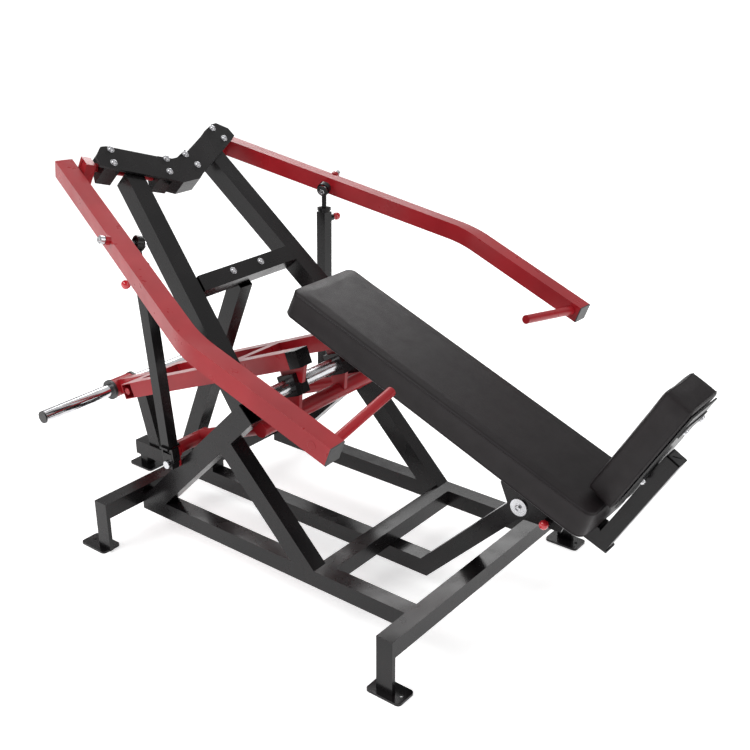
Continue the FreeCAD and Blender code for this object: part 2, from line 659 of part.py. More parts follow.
# ---------------------------------------------------------------- struts
ball = at(44.0, 460.5, 37.0)
strut_foot = P(-1040.0, 410.0, 404.0)
for side, word in ((-1, "right"), (1, "left")):
    top = mirror(ball, side)
    low = mirror(strut_foot, side)
    down = low.sub(top).normalize()
    w_dir = mirror(axis_w, side)
    out_dir = V(0, side, 0)
    out_dir = out_dir.sub(V(down).multiply(out_dir.dot(down))).normalize()

    def along_strut(drop, outward=0.0):
        return top.add(V(down).multiply(drop)).add(V(out_dir).multiply(outward))

    eye = rod("rod_end_%s_eye" % word, 24.0, 20.0, top.sub(V(w_dir).multiply(10.0)), w_dir)
    shank = rod("rod_end_%s_shank" % word, 9.0, 56.0, along_strut(16.0), down)
    both = fuse("rod_end_%s_both" % word, [eye, shank])
    bore = rod("rod_end_%s_bore" % word, "Dims.rod_end_bore", 60.0,
               top.sub(V(w_dir).multiply(30.0)), w_dir)
    node(cut("rod_end_%s_cut" % word, both, bore), "rod_end_" + word)
    node(rod("strut_disc_" + word, 26.0, 9.0, along_strut(72.0), down), "strut_disc_" + word)
    node(rod("strut_ring_" + word, 23.0, 7.0, along_strut(81.0), down), "strut_ring_" + word)
    total = low.sub(top).Length
    node(tube("strut_tube_" + word, along_strut(88.0), along_strut(total - 46.0),
              "strut_tube", "strut_tube", out_dir), "strut_tube_" + word)
    node(rod("pin_sleeve_" + word, 13.0, 26.0, along_strut(116.0, strut_w / 2), out_dir),
         "pin_sleeve_full_" + word)
    sleeve = nodes.pop()
    pin_bore = rod("pin_sleeve_bore_" + word, 6.06, 60.0, along_strut(116.0, 10.0), out_dir)
    node(cut("pin_sleeve_cut_" + word, sleeve, pin_bore), "pin_sleeve_" + word)
    stem = rod("pin_stem_" + word, 6.0, 44.0, along_strut(116.0, strut_w / 2 + 0.5), out_dir)
    cone = doc.addObject("Part::Cone", "pin_knob_cone_" + word)
    cone.Radius1 = 8.0
    bound(cone, "Radius2", "Dims.knob_radius")
    cone.Height = 14.0
    cone.Placement = FreeCAD.Placement(along_strut(116.0, strut_w / 2 + 36.0),
                                       FreeCAD.Rotation(V(0, 0, 1), out_dir))
    head = rod("pin_knob_head_" + word, "Dims.knob_radius", 16.0,
               along_strut(116.0, strut_w / 2 + 50.0), out_dir)
    node(fuse("pull_pin_all_" + word, [stem, cone, head]), "pull_pin_" + word)
    # foot fork of the strut on its cross block
    fork_place = frame(along_strut(total - 46.0), down, V(0, 0, 1).cross(V(1, 0, 0)))
    node(block("fork_cap_" + word, 8.0, 40.0, 56.0, moved(fork_place, 0, -20.0, -28.0)),
         "fork_cap_" + word)
    doc.recompute()
    ears = []
    for sign in (-1, 1):
        ear = block("fork_ear_%s_%d" % (word, sign + 1), 52.0, 30.0, 7.0,
                    FreeCAD.Placement())
        # ears face fore and aft, so the strut leans sideways between them
        place = frame(along_strut(total - 38.0), down, V(1, 0, 0))
        off = 21.0 if sign > 0 else -28.0
        ear.Placement = moved(place, 0, -15.0, off)
        ears.append(ear)
    pair = fuse("fork_ears_" + word, ears)
    pin_hole = rod("fork_hole_" + word, 8.05, 90.0,
                   low.sub(V(45.0, 0, 0)), V(1, 0, 0))
    node(cut("fork_cut_" + word, pair, pin_hole), "strut_fork_" + word)

    # cross block: fore-and-aft pin for the strut, sideways bore for the lever
    block_place = FreeCAD.Placement(V(low.x - 20.0, low.y - 16.0, low.z - 40.0),
                                    FreeCAD.Rotation())
    core = block("cross_block_%s_core" % word, 40.0, 32.0, 56.0, block_place)
    pin = rod("cross_pin_%s" % word, 8.0, 64.0, V(low.x - 32.0, low.y, low.z), V(1, 0, 0))
    both = fuse("cross_block_%s_all" % word, [core, pin])
    side_bore = rod("cross_bore_%s" % word, 9.05, 60.0,
                    V(low.x, low.y - 30.0, low.z - 24.0), V(0, 1, 0))
    node(cut("cross_block_%s_cut" % word, both, side_bore), "cross_block_" + word)

# lever spindles that the cross blocks turn on
for side, word in ((-1, "right"), (1, "left")):
    low = mirror(strut_foot, side)
    spindle = rod("spindle_%s_rod" % word, 9.0, 38.0, V(low.x, side * 390.0, low.z - 24.0),
                  V(0, side, 0))
    tip_disc = rod("spindle_%s_tip" % word, 14.0, 8.0, V(low.x, side * 428.0, low.z - 24.0),
                   V(0, side, 0))
    node(fuse("spindle_%s_all" % word, [spindle, tip_disc]), "lever_spindle_" + word)

# rest post that carries the lever's tail at the bottom of its travel
rest_low = P(-1596.0, 0, spine_z + base)
rest_dir = V(-52.0, 0, 190.0).normalize()
rest_len = 202.0
rest_end = rest_low.add(V(rest_dir).multiply(rest_len))
node(tube("rest_post", rest_low, rest_end, "strut_tube", "base_tube", V(-1, 0, 0),
          trims=((rest_low, V(0, 0, -1)),), grow=20.0), "rest_post")
node(block("rest_bumper", 14.0, 50.0, 60.0,
           moved(frame(rest_end.add(V(rest_dir).multiply(20.0)), rest_dir, V(-1, 0, 0)),
                 0, -25.0, -30.0)), "rest_bumper")

# ---------------------------------------------------------------- bench
tilt = math.radians(21.4)
bench_u = V(math.cos(tilt), 0, -math.sin(tilt))
bench_n = V(math.sin(tilt), 0, math.cos(tilt))
head_edge = P(-695.0, 0, 1021.0)


def bench_pt(run, y, depth):
    p = head_edge.add(V(bench_u).multiply(run)).sub(V(bench_n).multiply(depth))
    return V(p.x, y, p.z)


pad_place = moved(frame(bench_pt(0, 0, pad_t), bench_u, bench_n), 0, -pad_w / 2, 0)
slab = block("bench_pad_slab", "Dims.bench_pad_length", "Dims.bench_pad_width",
             "Dims.bench_pad_thick", pad_place)
soft = doc.addObject("Part::Fillet", "bench_pad_soft")
soft.Base = slab
doc.recompute()
soft.Edges = [(n + 1, 16.0, 16.0) for n in range(12)]
node(soft, "bench_pad")
tray_t = 12.0
node(block("bench_tray", 1120.0, 240.0, tray_t,
           moved(frame(bench_pt(40.0, 0, pad_t + tray_t + 0.4), bench_u, bench_n), 0, -120.0, 0)),
     "bench_tray")
keel_drop = pad_t + tray_t + 0.4 + hb
keel_end = bench_pt(1244.6, 0, keel_drop)
leg_dir = V(math.cos(math.radians(60.6)), 0, math.sin(math.radians(60.6)))
leg_back = V(leg_dir.z, 0, -leg_dir.x)
keel_mitre = bench_u.add(leg_dir).normalize()
keel_tube = tube("bench_keel", bench_pt(60.0, 0, keel_drop), keel_end,
                 "base_tube", "base_tube", bench_n,
                 trims=((bench_pt(60.0, 0, keel_drop), V(bench_u).multiply(-1)),
                        (keel_end, keel_mitre)), grow=70.0)
# slot in the keel's underside that the lock plate enters as the bench tilts
keel_slot = block("keel_slot", 140.0, 15.0, 24.0,
                  moved(frame(pivot, bench_u, bench_n), 30.0, -7.5, 36.0))
node(cut("bench_keel_slotted", keel_tube, keel_slot), "bench_keel")
leg_top = keel_end.add(V(leg_dir).multiply(370.0))
node(tube("seat_leg", keel_end, leg_top, "base_tube", "seat_leg_depth", leg_back,
          trims=((keel_end, V(keel_mitre).multiply(-1)), (leg_top, leg_dir)),
          grow=70.0), "seat_leg")

# pivot lugs on both sides of the bench post, their axle and its silver caps
lug_y = hb + 2.0
lug_t = 8.0
keel_low = pad_t + tray_t + 0.4 + base
run_pivot = (pivot.x - head_edge.x) * bench_u.x + (pivot.z - head_edge.z) * bench_u.z
for side, word in ((-1, "right"), (1, "left")):
    y0 = lug_y if side > 0 else -lug_y - lug_t
    outline = [bench_pt(run_pivot - 90.0, 0, keel_low - 40.0),
               bench_pt(run_pivot + 150.0, 0, keel_low - 40.0),
               bench_pt(run_pivot + 150.0, 0, keel_low + 34.0),
               P(160.0, 0, 414.0), P(120.0, 0, 410.0), P(96.0, 0, 430.0),
               bench_pt(run_pivot - 90.0, 0, keel_low + 20.0)]
    pts = [V(p.x, y0, p.z) for p in outline]
    shape = Part.Face(Part.makePolygon(pts + pts[:1])).extrude(V(0, lug_t, 0))
    shape = shape.cut(Part.makeCylinder(pivot_r, 40.0, V(pivot.x, y0 - 10, pivot.z),
                                        V(0, 1, 0)))
    if side < 0:
        lock = P(238.0, 0, 446.0)
        shape = shape.cut(Part.makeCylinder(7.0 + run_gap, 40.0,
                                            V(lock.x, y0 - 10, lock.z), V(0, 1, 0)))
    lug = doc.addObject("Part::Feature", "bench_lug_" + word)
    lug.Shape = shape
    node(lug, "bench_lug_" + word)
    filler = block("lug_spacer_%s_block" % word, 230.0, 2.0, 34.0,
                   moved(frame(bench_pt(run_pivot - 85.0, 0, keel_low - 3.0), bench_u,
                               bench_n), 0, 0, 0))
    filler.Placement = moved(frame(bench_pt(run_pivot - 85.0, side * (hb + 1.0),
                                            keel_low - 3.0), bench_u, bench_n), 0, -1.0, 0)
    node(filler, "lug_spacer_" + word)
    disc = rod("pivot_disc_%s_full" % word, 29.0, 6.0,
               V(pivot.x, side * (lug_y + lug_t), pivot.z), V(0, side, 0))
    node(disc, "pivot_disc_" + word)
node(rod("bench_axle", "Dims.bench_axle_radius", 2 * (lug_y + lug_t),
         V(pivot.x, -lug_y - lug_t, pivot.z), V(0, 1, 0)), "bench_axle")
bolts("pivot_bolts", [(V(pivot.x, s * (lug_y + lug_t + 6.0), pivot.z), V(0, s, 0))
                      for s in (-1, 1)])
bolts("lug_bolts", [(V(P(186.0, 0, 0).x, s * (lug_y + lug_t), 512.0), V(0, s, 0))
                    for s in (-1, 1)])
# cap on the post's end with the lock plate and its curved slot
node(block("post_cap", "Dims.base_tube", "Dims.base_tube", 5.0,
           moved(frame(post_end, V(0, 1, 0).cross(post_dir), post_dir), -hb, -hb, 0)),
     "post_cap")
perp = V(post_dir.z, 0, -post_dir.x)


def lock_pt(u, v, y):
    p = pivot.add(V(post_dir).multiply(u)).add(V(perp).multiply(v))
    return V(p.x, y, p.z)


lock_shape = [lock_pt(u, v, -4.0) for u, v in
              ((37.0, -26.0), (37.0, 30.0), (52.0, 112.0), (98.0, 112.0), (98.0, 60.0),
               (56.0, -26.0))]
lock_shape = Part.Face(Part.makePolygon(lock_shape + lock_shape[:1])).extrude(V(0, 8.0, 0))
reach = math.hypot(238.0 - 130.0, 446.0 - 452.0)
lock_angle = math.degrees(math.atan2(446.0 - 452.0, 238.0 - 130.0))
for step in range(-3, 13):
    ang = math.radians(lock_angle - step)
    spot = V(pivot.x + reach * math.cos(ang), -10.0, pivot.z + reach * math.sin(ang))
    lock_shape = lock_shape.cut(Part.makeCylinder(8.0, 20.0, spot, V(0, 1, 0)))
keel_clear = Part.makeBox(400.0, 40.0, 100.0)
keel_clear.Placement = moved(frame(pivot, bench_u, bench_n), -200.0, -20.0, 48.0)
lock_shape = lock_shape.cut(keel_clear)
lock_plate = doc.addObject("Part::Feature", "lock_plate")
lock_plate.Shape = lock_shape
node(lock_plate, "lock_plate")
# bench pull pin with its sleeve
pin_x = P(238.0, 0, 0).x
sleeve = rod("bench_sleeve_out", 13.0, 22.0, V(pin_x, -lug_y - lug_t, 446.0), V(0, -1, 0))
bore = rod("bench_sleeve_in", 7.0 + run_gap, 60.0, V(pin_x, -lug_y, 446.0), V(0, -1, 0))
node(cut("bench_sleeve_cut", sleeve, bore), "bench_pin_sleeve")
stem = rod("bench_pin_stem", 7.0, 74.0, V(pin_x, 6.0, 446.0), V(0, -1, 0))
cone = doc.addObject("Part::Cone", "bench_pin_cone")
cone.Radius1 = 8.0
bound(cone, "Radius2", "Dims.knob_radius")
cone.Height = 10.0
cone.Placement = FreeCAD.Placement(V(pin_x, -66.0, 446.0),
                                   FreeCAD.Rotation(V(0, 0, 1), V(0, -1, 0)))
head = rod("bench_pin_head", "Dims.knob_radius", 15.0, V(pin_x, -76.0, 446.0), V(0, -1, 0))
node(fuse("bench_pin_all", [stem, cone, head]), "bench_pull_pin")

# seat block, its board and the brackets that carry it on the leg
back_low = P(452.1, 0, 574.3)
back_low = back_low.sub(V(leg_dir).multiply(1.0))
seat_place = frame(back_low, leg_dir, V(leg_back).multiply(-1))
slab = block("seat_pad_slab", "Dims.seat_pad_length - 33", "Dims.seat_pad_width",
             "Dims.seat_pad_thick", moved(seat_place, 0, -seat_w / 2, 0))
soft = doc.addObject("Part::Fillet", "seat_pad_soft")
soft.Base = slab
doc.recompute()
soft.Edges = [(n + 1, 12.0, 12.0) for n in range(12)]
node(soft, "seat_pad")
node(block("seat_board", 390.0, 160.0, 5.0, moved(seat_place, 16.0, -80.0, -5.4)),
     "seat_board")
for number, spot in enumerate((110.0, 322.0)):
    tag = ("low", "high")[number]
    strip_place = moved(seat_place, spot, -70.0, -5.4 - 4.0)
    node(block("seat_strip_" + tag, 40.0, 140.0, 4.0, strip_place), "seat_strip_" + tag)
strip_back = V(leg_back)
seats = []
for spot in (130.0, 342.0):
    for s in (-1, 1):
        p = back_low.add(V(leg_dir).multiply(spot)).add(V(leg_back).multiply(5.4 + 4.0))
        seats.append((V(p.x, s * 54.0, p.z), strip_back))
bolts("seat_bolts", seats)

# ---------------------------------------------------------------- grouping
# pieces of one kind on one moving body share a node, each still a solid


def gather(label, members):
    found = [obj for obj in nodes if obj.Label in members]
    if len(found) != len(members):
        raise RuntimeError("missing member in " + label)
    for obj in found:
        nodes.remove(obj)
        obj.Label = obj.Label + "_piece"
    node(fuse(label + "_group", found), label)


both = ("right", "left")
gather("feet", ["foot_%s_%s_%s" % (kind, tag, word)
                for kind in ("post", "plate") for tag in ("rear", "front") for word in both]
       + ["foot_plate_tail", "tail_post", "rear_saddle"])
gather("yoke", ["yoke_plate", "yoke_gusset"])
gather("side_rails", ["rail_" + word for word in both])
gather("rear_braces", ["rear_brace_" + word for word in both])
gather("front_braces", ["front_brace_" + word for word in both])
gather("bearing_blocks", ["bearing_%s_%s" % (spot, word)
                          for spot in ("outer", "inner") for word in both])
gather("frame_bolts", ["crossbar_bolts"] + ["yoke_bolts_" + word for word in both])
gather("lock_bracket", ["post_cap", "lock_plate"])
gather("bench_lugs", ["bench_lug_" + word for word in both]
       + ["lug_spacer_" + word for word in both] + ["bench_pin_sleeve"])
gather("bench_pivot_axle", ["bench_axle"] + ["pivot_disc_" + word for word in both])
gather("bench_bolts", ["pivot_bolts", "lug_bolts", "seat_bolts"])
gather("seat_backing", ["seat_board", "seat_strip_low", "seat_strip_high"])
gather("lever_beams", ["lever_beam_" + word for word in both])
gather("lever_cross_tubes", ["lever_rear_tube", "lever_mid_tube", "lever_stub"])
gather("horn_collars", ["horn_collar_" + word for word in both])
gather("loading_horns", ["horn_" + word for word in both])
gather("horn_caps", ["horn_cap_" + word for word in both])
gather("lever_low_frame", ["lever_low_tube"] + ["foot_arm_" + word for word in both])
gather("lever_hinge_hubs", ["lever_hub_" + word for word in both]
       + ["lever_end_" + word for word in both])
gather("lever_webs", ["lever_web_%s_%s" % (tag, word)
                      for tag in ("low", "high") for word in both])
gather("lever_spindles", ["lever_spindle_" + word for word in both])
for word in both:
    gather("arm_%s" % word, ["press_arm_" + word, "axle_boss_" + word])
    gather("arm_pivot_%s" % word, ["arm_bracket_" + word, "pivot_shaft_" + word])
    gather("arm_axle_%s" % word, ["strut_axle_" + word, "axle_nut_" + word])
    gather("strut_head_%s" % word, ["rod_end_" + word, "strut_disc_" + word,
                                    "strut_ring_" + word])
    gather("strut_body_%s" % word, ["strut_tube_" + word, "pin_sleeve_" + word])
    gather("strut_foot_%s" % word, ["fork_cap_" + word, "strut_fork_" + word])

# ---------------------------------------------------------------- write out
doc.recompute()
for obj in doc.Objects:
    if "Invalid" in obj.State or "Error" in obj.State:
        raise RuntimeError("failed: %s %s" % (obj.Name, obj.State))
for obj in nodes:
    if obj.Shape.isNull() or not obj.Shape.isValid() or obj.Shape.Volume <= 0:
        raise RuntimeError("bad shape: " + obj.Label)
os.makedirs("parts", exist_ok=True)
for name in os.listdir("parts"):
    if name.endswith(".step"):
        os.remove(os.path.join("parts", name))
whole = FreeCAD.BoundBox()
for obj in nodes:
    obj.Shape.exportStep("parts/%s.step" % obj.Label)
    print(obj.Label, len(obj.Shape.Solids), round(obj.Shape.Volume / 1000.0, 1))
    whole.add(obj.Shape.BoundBox)
print("nodes", len(nodes))
print("box", whole)
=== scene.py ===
import json
import math
import bpy
import bmesh
import numpy as np
from mathutils import Matrix, Vector


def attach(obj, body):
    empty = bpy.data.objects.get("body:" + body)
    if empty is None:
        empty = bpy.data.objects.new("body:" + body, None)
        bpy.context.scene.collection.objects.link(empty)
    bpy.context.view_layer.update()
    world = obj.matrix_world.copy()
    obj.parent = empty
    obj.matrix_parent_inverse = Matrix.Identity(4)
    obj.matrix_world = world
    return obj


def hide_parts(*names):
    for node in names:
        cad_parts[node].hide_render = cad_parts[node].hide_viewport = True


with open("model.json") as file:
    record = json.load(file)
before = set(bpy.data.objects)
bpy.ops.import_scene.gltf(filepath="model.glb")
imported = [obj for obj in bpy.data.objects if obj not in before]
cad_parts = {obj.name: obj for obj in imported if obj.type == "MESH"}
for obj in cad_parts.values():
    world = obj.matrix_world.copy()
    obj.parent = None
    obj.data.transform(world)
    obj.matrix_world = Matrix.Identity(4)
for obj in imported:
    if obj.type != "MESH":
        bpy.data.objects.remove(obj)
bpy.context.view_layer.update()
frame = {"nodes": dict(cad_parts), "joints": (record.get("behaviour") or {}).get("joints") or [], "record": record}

# The press machine's looks: paint, vinyl, chrome and steel finishes, two
# sewn pads, bolts, knobs, tube plugs and weld plugs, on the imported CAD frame.
# Lengths are in metres.

COLL = bpy.context.scene.collection
NODES = frame["nodes"]
RECORD = frame["record"]
SIDES = (("right", -1), ("left", 1))

# slopes of the bench, which falls towards the seat, and of the seat, which
# rises from it; U runs along a pad and N stands on its top
TILT = math.radians(21.4)
SEAT = math.radians(60.6)
BENCH_U = Vector((math.cos(TILT), 0, -math.sin(TILT)))
BENCH_N = Vector((math.sin(TILT), 0, math.cos(TILT)))
SEAT_U = Vector((math.cos(SEAT), 0, math.sin(SEAT)))
SEAT_N = Vector((-math.sin(SEAT), 0, math.cos(SEAT)))


# ------------------------------------------------------------ materials
def new_material(name, color, rough, metallic=0.0, **sockets):
    # material, node tree, shader and object coordinates
    mat = bpy.data.materials.new(name)
    mat.use_nodes = True
    tree = mat.node_tree
    shader = tree.nodes["Principled BSDF"]
    shader.inputs["Base Color"].default_value = (*color, 1)
    shader.inputs["Roughness"].default_value = rough
    shader.inputs["Metallic"].default_value = metallic
    for key, value in sockets.items():
        shader.inputs[key.replace("_", " ")].default_value = value
    coords = tree.nodes.new("ShaderNodeTexCoord")
    return mat, tree, shader, coords.outputs["Object"]


def tie(tree, output, shader, socket):
    tree.links.new(output, shader.inputs[socket])


def noise(tree, coords, scale, detail=4.0, stretch=None):
    if stretch:
        mapping = tree.nodes.new("ShaderNodeMapping")
        mapping.inputs["Scale"].default_value = stretch
        tree.links.new(coords, mapping.inputs["Vector"])
        coords = mapping.outputs["Vector"]
    tex = tree.nodes.new("ShaderNodeTexNoise")
    tex.inputs["Scale"].default_value = scale
    tex.inputs["Detail"].default_value = detail
    tree.links.new(coords, tex.inputs["Vector"])
    return tex.outputs["Fac"]


def spread(tree, fac, low, high, start=0.3, end=0.7):
    node = tree.nodes.new("ShaderNodeMapRange")
    node.inputs["From Min"].default_value = start
    node.inputs["From Max"].default_value = end
    node.inputs["To Min"].default_value = low
    node.inputs["To Max"].default_value = high
    tree.links.new(fac, node.inputs["Value"])
    return node.outputs["Result"]


def two_tone(tree, fac, a, b, start=0.35, end=0.65):
    ramp = tree.nodes.new("ShaderNodeValToRGB")
    ramp.color_ramp.elements[0].position = start
    ramp.color_ramp.elements[0].color = (*a, 1)
    ramp.color_ramp.elements[1].position = end
    ramp.color_ramp.elements[1].color = (*b, 1)
    tree.links.new(fac, ramp.inputs["Fac"])
    return ramp.outputs["Color"]


def bump(tree, shader, height, strength, distance, under=None):
    node = tree.nodes.new("ShaderNodeBump")
    node.inputs["Strength"].default_value = strength
    node.inputs["Distance"].default_value = distance
    tree.links.new(height, node.inputs["Height"])
    if under:
        tree.links.new(under, node.inputs["Normal"])
    tree.links.new(node.outputs["Normal"], shader.inputs["Normal"])
    return node.outputs["Normal"]


def powder_coat(name, dark, light, rough, coat, level):
    mat, tree, shader, at = new_material(name, dark, rough, Coat_Weight=coat,
                                         Coat_Roughness=0.08, Specular_IOR_Level=level)
    cloud = noise(tree, at, 5.0, 3.0)
    tie(tree, two_tone(tree, cloud, dark, light), shader, "Base Color")
    gloss = spread(tree, noise(tree, at, 14.0), rough - 0.04, rough + 0.07)
    tie(tree, gloss, shader, "Roughness")
    peel = bump(tree, shader, noise(tree, at, 420.0, 2.0), 0.045, 0.0004)
    bump(tree, shader, noise(tree, at, 18.0, 1.0), 0.03, 0.003, peel)
    return mat


def vinyl(name, dark, light):
    mat, tree, shader, at = new_material(name, dark, 0.42, Specular_IOR_Level=0.26)
    cells = tree.nodes.new("ShaderNodeTexVoronoi")
    cells.feature = "DISTANCE_TO_EDGE"
    cells.inputs["Scale"].default_value = 620.0
    tree.links.new(at, cells.inputs["Vector"])
    tie(tree, two_tone(tree, noise(tree, at, 9.0), dark, light), shader, "Base Color")
    tie(tree, spread(tree, noise(tree, at, 26.0), 0.36, 0.48), shader, "Roughness")
    grain = spread(tree, cells.outputs["Distance"], 0.0, 1.0, 0.0, 0.12)
    fine = bump(tree, shader, grain, 0.22, 0.0004)
    bump(tree, shader, noise(tree, at, 12.0, 2.0), 0.12, 0.006, fine)
    return mat


def metal(name, color, rough, stretch, scale, strength):
    mat, tree, shader, at = new_material(name, color, rough, 1.0)
    lines = noise(tree, at, scale, 3.0, stretch)
    tie(tree, spread(tree, lines, rough * 0.75, rough * 1.35), shader, "Roughness")
    tint = tuple(c * 0.82 for c in color)
    tie(tree, two_tone(tree, noise(tree, at, 22.0), tint, color), shader, "Base Color")
    bump(tree, shader, lines, strength, 0.0003)
    return mat


def moulded(name, dark, light, rough, gloss=0.0):
    mat, tree, shader, at = new_material(name, dark, rough, Coat_Weight=gloss,
                                         Coat_Roughness=0.05)
    tie(tree, two_tone(tree, noise(tree, at, 30.0), dark, light), shader, "Base Color")
    haze = spread(tree, noise(tree, at, 60.0), rough - 0.05, rough + 0.05)
    tie(tree, haze, shader, "Roughness")
    bump(tree, shader, noise(tree, at, 700.0, 2.0), 0.12, 0.0004)
    return mat


MATS = {
    "frame_black": powder_coat("black_powder_coat", (0.0042, 0.0038, 0.0042),
                               (0.0075, 0.0062, 0.0068), 0.24, 0.06, 0.26),
    "lever_red": powder_coat("red_powder_coat", (0.28, 0.0090, 0.014),
                             (0.35, 0.014, 0.020), 0.30, 0.08, 0.26),
    "pad_vinyl": vinyl("black_vinyl", (0.0098, 0.0074, 0.0082),
                       (0.0135, 0.0104, 0.0114)),
    "bright_steel": metal("turned_steel", (0.66, 0.66, 0.68), 0.22,
                          (1, 1, 14), 90.0, 0.10),
    "chrome_horn": metal("polished_chrome", (0.80, 0.80, 0.82), 0.07,
                         (40, 1, 40), 6.0, 0.03),
    "black_plastic": moulded("black_moulded", (0.018, 0.018, 0.019),
                             (0.026, 0.026, 0.026), 0.38),
    "bumper_rubber": moulded("black_rubber", (0.016, 0.016, 0.016),
                             (0.024, 0.023, 0.022), 0.62),
    "knob_red": moulded("red_knob", (0.50, 0.010, 0.020),
                        (0.58, 0.016, 0.026), 0.20, 0.8),
}


# ------------------------------------------------------------ helpers
def mesh_from(name, bm):
    mesh = bpy.data.meshes.new(name)
    bm.to_mesh(mesh)
    bm.free()
    return mesh


def add_object(name, data):
    obj = bpy.data.objects.new(name, data)
    COLL.objects.link(obj)
    return obj


def shade(mesh, sharp_above):
    # smooth shading, with edges sharper than this many degrees kept crisp
    mesh.polygons.foreach_set("use_smooth", [True] * len(mesh.polygons))
    if sharp_above:
        mesh.set_sharp_from_angle(angle=math.radians(sharp_above))


def node_points(node):
    return [v.co.copy() for v in NODES[node].data.vertices]


def axes(z_dir, hint=Vector((0, 1, 0))):
    # rotation whose local Z is z_dir
    z = Vector(z_dir).normalized()
    if abs(z.dot(hint)) > 0.95:
        hint = Vector((1, 0, 0))
    x = hint.cross(z).normalized()
    y = z.cross(x)
    return Matrix((x, y, z)).transposed().to_4x4()


def place(origin, z_dir, hint=Vector((0, 1, 0))):
    return Matrix.Translation(origin) @ axes(z_dir, hint)


def piece(name, mesh, matrix, body, slot, smooth, settled=True):
    # settled puts the placing into the mesh, so that the piece's box is tight
    if settled:
        mesh.transform(matrix)
        matrix = Matrix()
    obj = add_object(name, mesh)
    mesh.materials.append(MATS[slot])
    shade(mesh, smooth)
    obj.matrix_world = matrix
    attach(obj, body)
    return obj


def lathe(name, profile, segments=40, hexed=()):
    # profile is (radius, height) rings from the bottom up; rings whose
    # number is in hexed are six-sided
    bm = bmesh.new()
    rings = []
    for number, (radius, height) in enumerate(profile):
        ring = []
        for step in range(segments):
            angle = 2 * math.pi * step / segments
            r = radius
            if number in hexed:
                part = angle % (math.pi / 3) - math.pi / 6
                r = radius * math.cos(math.pi / 6) / math.cos(part)
            spot = (r * math.cos(angle), r * math.sin(angle), height)
            ring.append(bm.verts.new(spot))
        rings.append(ring)
    for low, high in zip(rings, rings[1:]):
        for step in range(segments):
            follow = (step + 1) % segments
            bm.faces.new((low[step], low[follow], high[follow], high[step]))
    bm.faces.new(list(reversed(rings[0])))
    bm.faces.new(rings[-1])
    return mesh_from(name, bm)


def islands(node):
    # loose parts of a CAD node, each as a list of points
    bm = bmesh.new()
    bm.from_mesh(NODES[node].data)
    bmesh.ops.remove_doubles(bm, verts=bm.verts, dist=1e-6)
    seen, found = set(), []
    for first in bm.verts:
        if first in seen:
            continue
        stack, part = [first], []
        seen.add(first)
        while stack:
            vert = stack.pop()
            part.append(vert.co.copy())
            for edge in vert.link_edges:
                other = edge.other_vert(vert)
                if other not in seen:
                    seen.add(other)
                    stack.append(other)
        found.append(part)
    bm.free()
    return found


FACE_DEPTH = 0.0006


def end_centre(points, direction):
    # middle of the face that lies furthest along a direction
    d = Vector(direction).normalized()
    top = max(p.dot(d) for p in points)
    face = [p for p in points if p.dot(d) > top - FACE_DEPTH]
    return sum(face, Vector()) / len(face)


# ------------------------------------------------------------ CAD finishes
SLOT_OF = {s["node"]: s["material_slot"] for s in RECORD["subparts"]}
BOLT_NODES = {"frame_bolts": "base", "bench_bolts": "bench"}
NO_EDGE = {*BOLT_NODES, "bench_pad", "seat_pad"}
PAINTED = ("frame_black", "lever_red")
PAINTED_EDGE, BARE_EDGE = 0.0035, 0.0012
for name, obj in NODES.items():
    obj.data.materials.clear()
    obj.data.materials.append(MATS[SLOT_OF[name]])
    if name not in NO_EDGE:
        soft = obj.modifiers.new("edge", "BEVEL")
        soft.width = PAINTED_EDGE if SLOT_OF[name] in PAINTED else BARE_EDGE
        soft.segments = 3
        soft.limit_method = "ANGLE"
        soft.angle_limit = math.radians(50)
        soft.harden_normals = False
    shade(obj.data, 35)


# ------------------------------------------------------------ bolts
# washer, button head and hexagon socket, as (radius, height)
BOLT_PROFILE = ((0.0128, 0.0), (0.0130, 0.0005), (0.0130, 0.0016),
                (0.0125, 0.0020), (0.0102, 0.0020), (0.0102, 0.0036),
                (0.0096, 0.0056), (0.0082, 0.0072), (0.0064, 0.0080),
                (0.0058, 0.0080), (0.0054, 0.0046), (0.0020, 0.0044))
SOCKET_RINGS = (10, 11)
SAMPLE = 60
RIM_SHARE = 0.85
SEARCH_STEP = 3


def thinnest(points):
    # direction in which a flat round part is thinnest
    best, found = None, None
    for tilt in range(0, 91, SEARCH_STEP):
        for turn in range(0, 360, SEARCH_STEP):
            t, a = math.radians(tilt), math.radians(turn)
            d = Vector((math.sin(t) * math.cos(a), math.sin(t) * math.sin(a),
                        math.cos(t)))
            width = max(p.dot(d) for p in points) - min(p.dot(d) for p in points)
            if best is None or width < best:
                best, found = width, d
    return found


for node, body in BOLT_NODES.items():
    made = None
    for number, part in enumerate(islands(node)):
        axis = thinnest(part[::max(1, len(part) // SAMPLE)])
        centre = sum(part, Vector()) / len(part)
        heights = [(p - centre).dot(axis) for p in part]
        spans = [((p - centre) - axis * h).length for p, h in zip(part, heights)]
        # the widest ring is the washer, which lies at the bolt's foot
        wide = [h for h, s in zip(heights, spans) if s > RIM_SHARE * max(spans)]
        if sum(wide) / len(wide) > sum(heights) / len(heights) + 0.0002:
            axis = -axis
            heights = [-h for h in heights]
        foot = centre + axis * min(heights)
        mesh = lathe(f"{node}_{number}", BOLT_PROFILE, 36, SOCKET_RINGS)
        bolt = piece(f"{node}_{number}", mesh, place(foot, axis), body,
                     "bright_steel", 30)
        made = made or bolt
    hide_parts(node)


# ------------------------------------------------------------ pads
SLACK = 0.003           # room left all round for the filling to swell into
HELD_BAND = 0.012       # strip at the foot, fixed to the board
FILL_PRESSURE = 4.0
FILL_FRAMES = 20
EVEN_ROUNDS = 30
CROWN = 0.004
PROUD_SIDE, PROUD_TOP = 0.0005, 0.0015
NEAR = 1e-5
WELT_RADIUS = 0.0013
WELT_LIFT = 0.0002


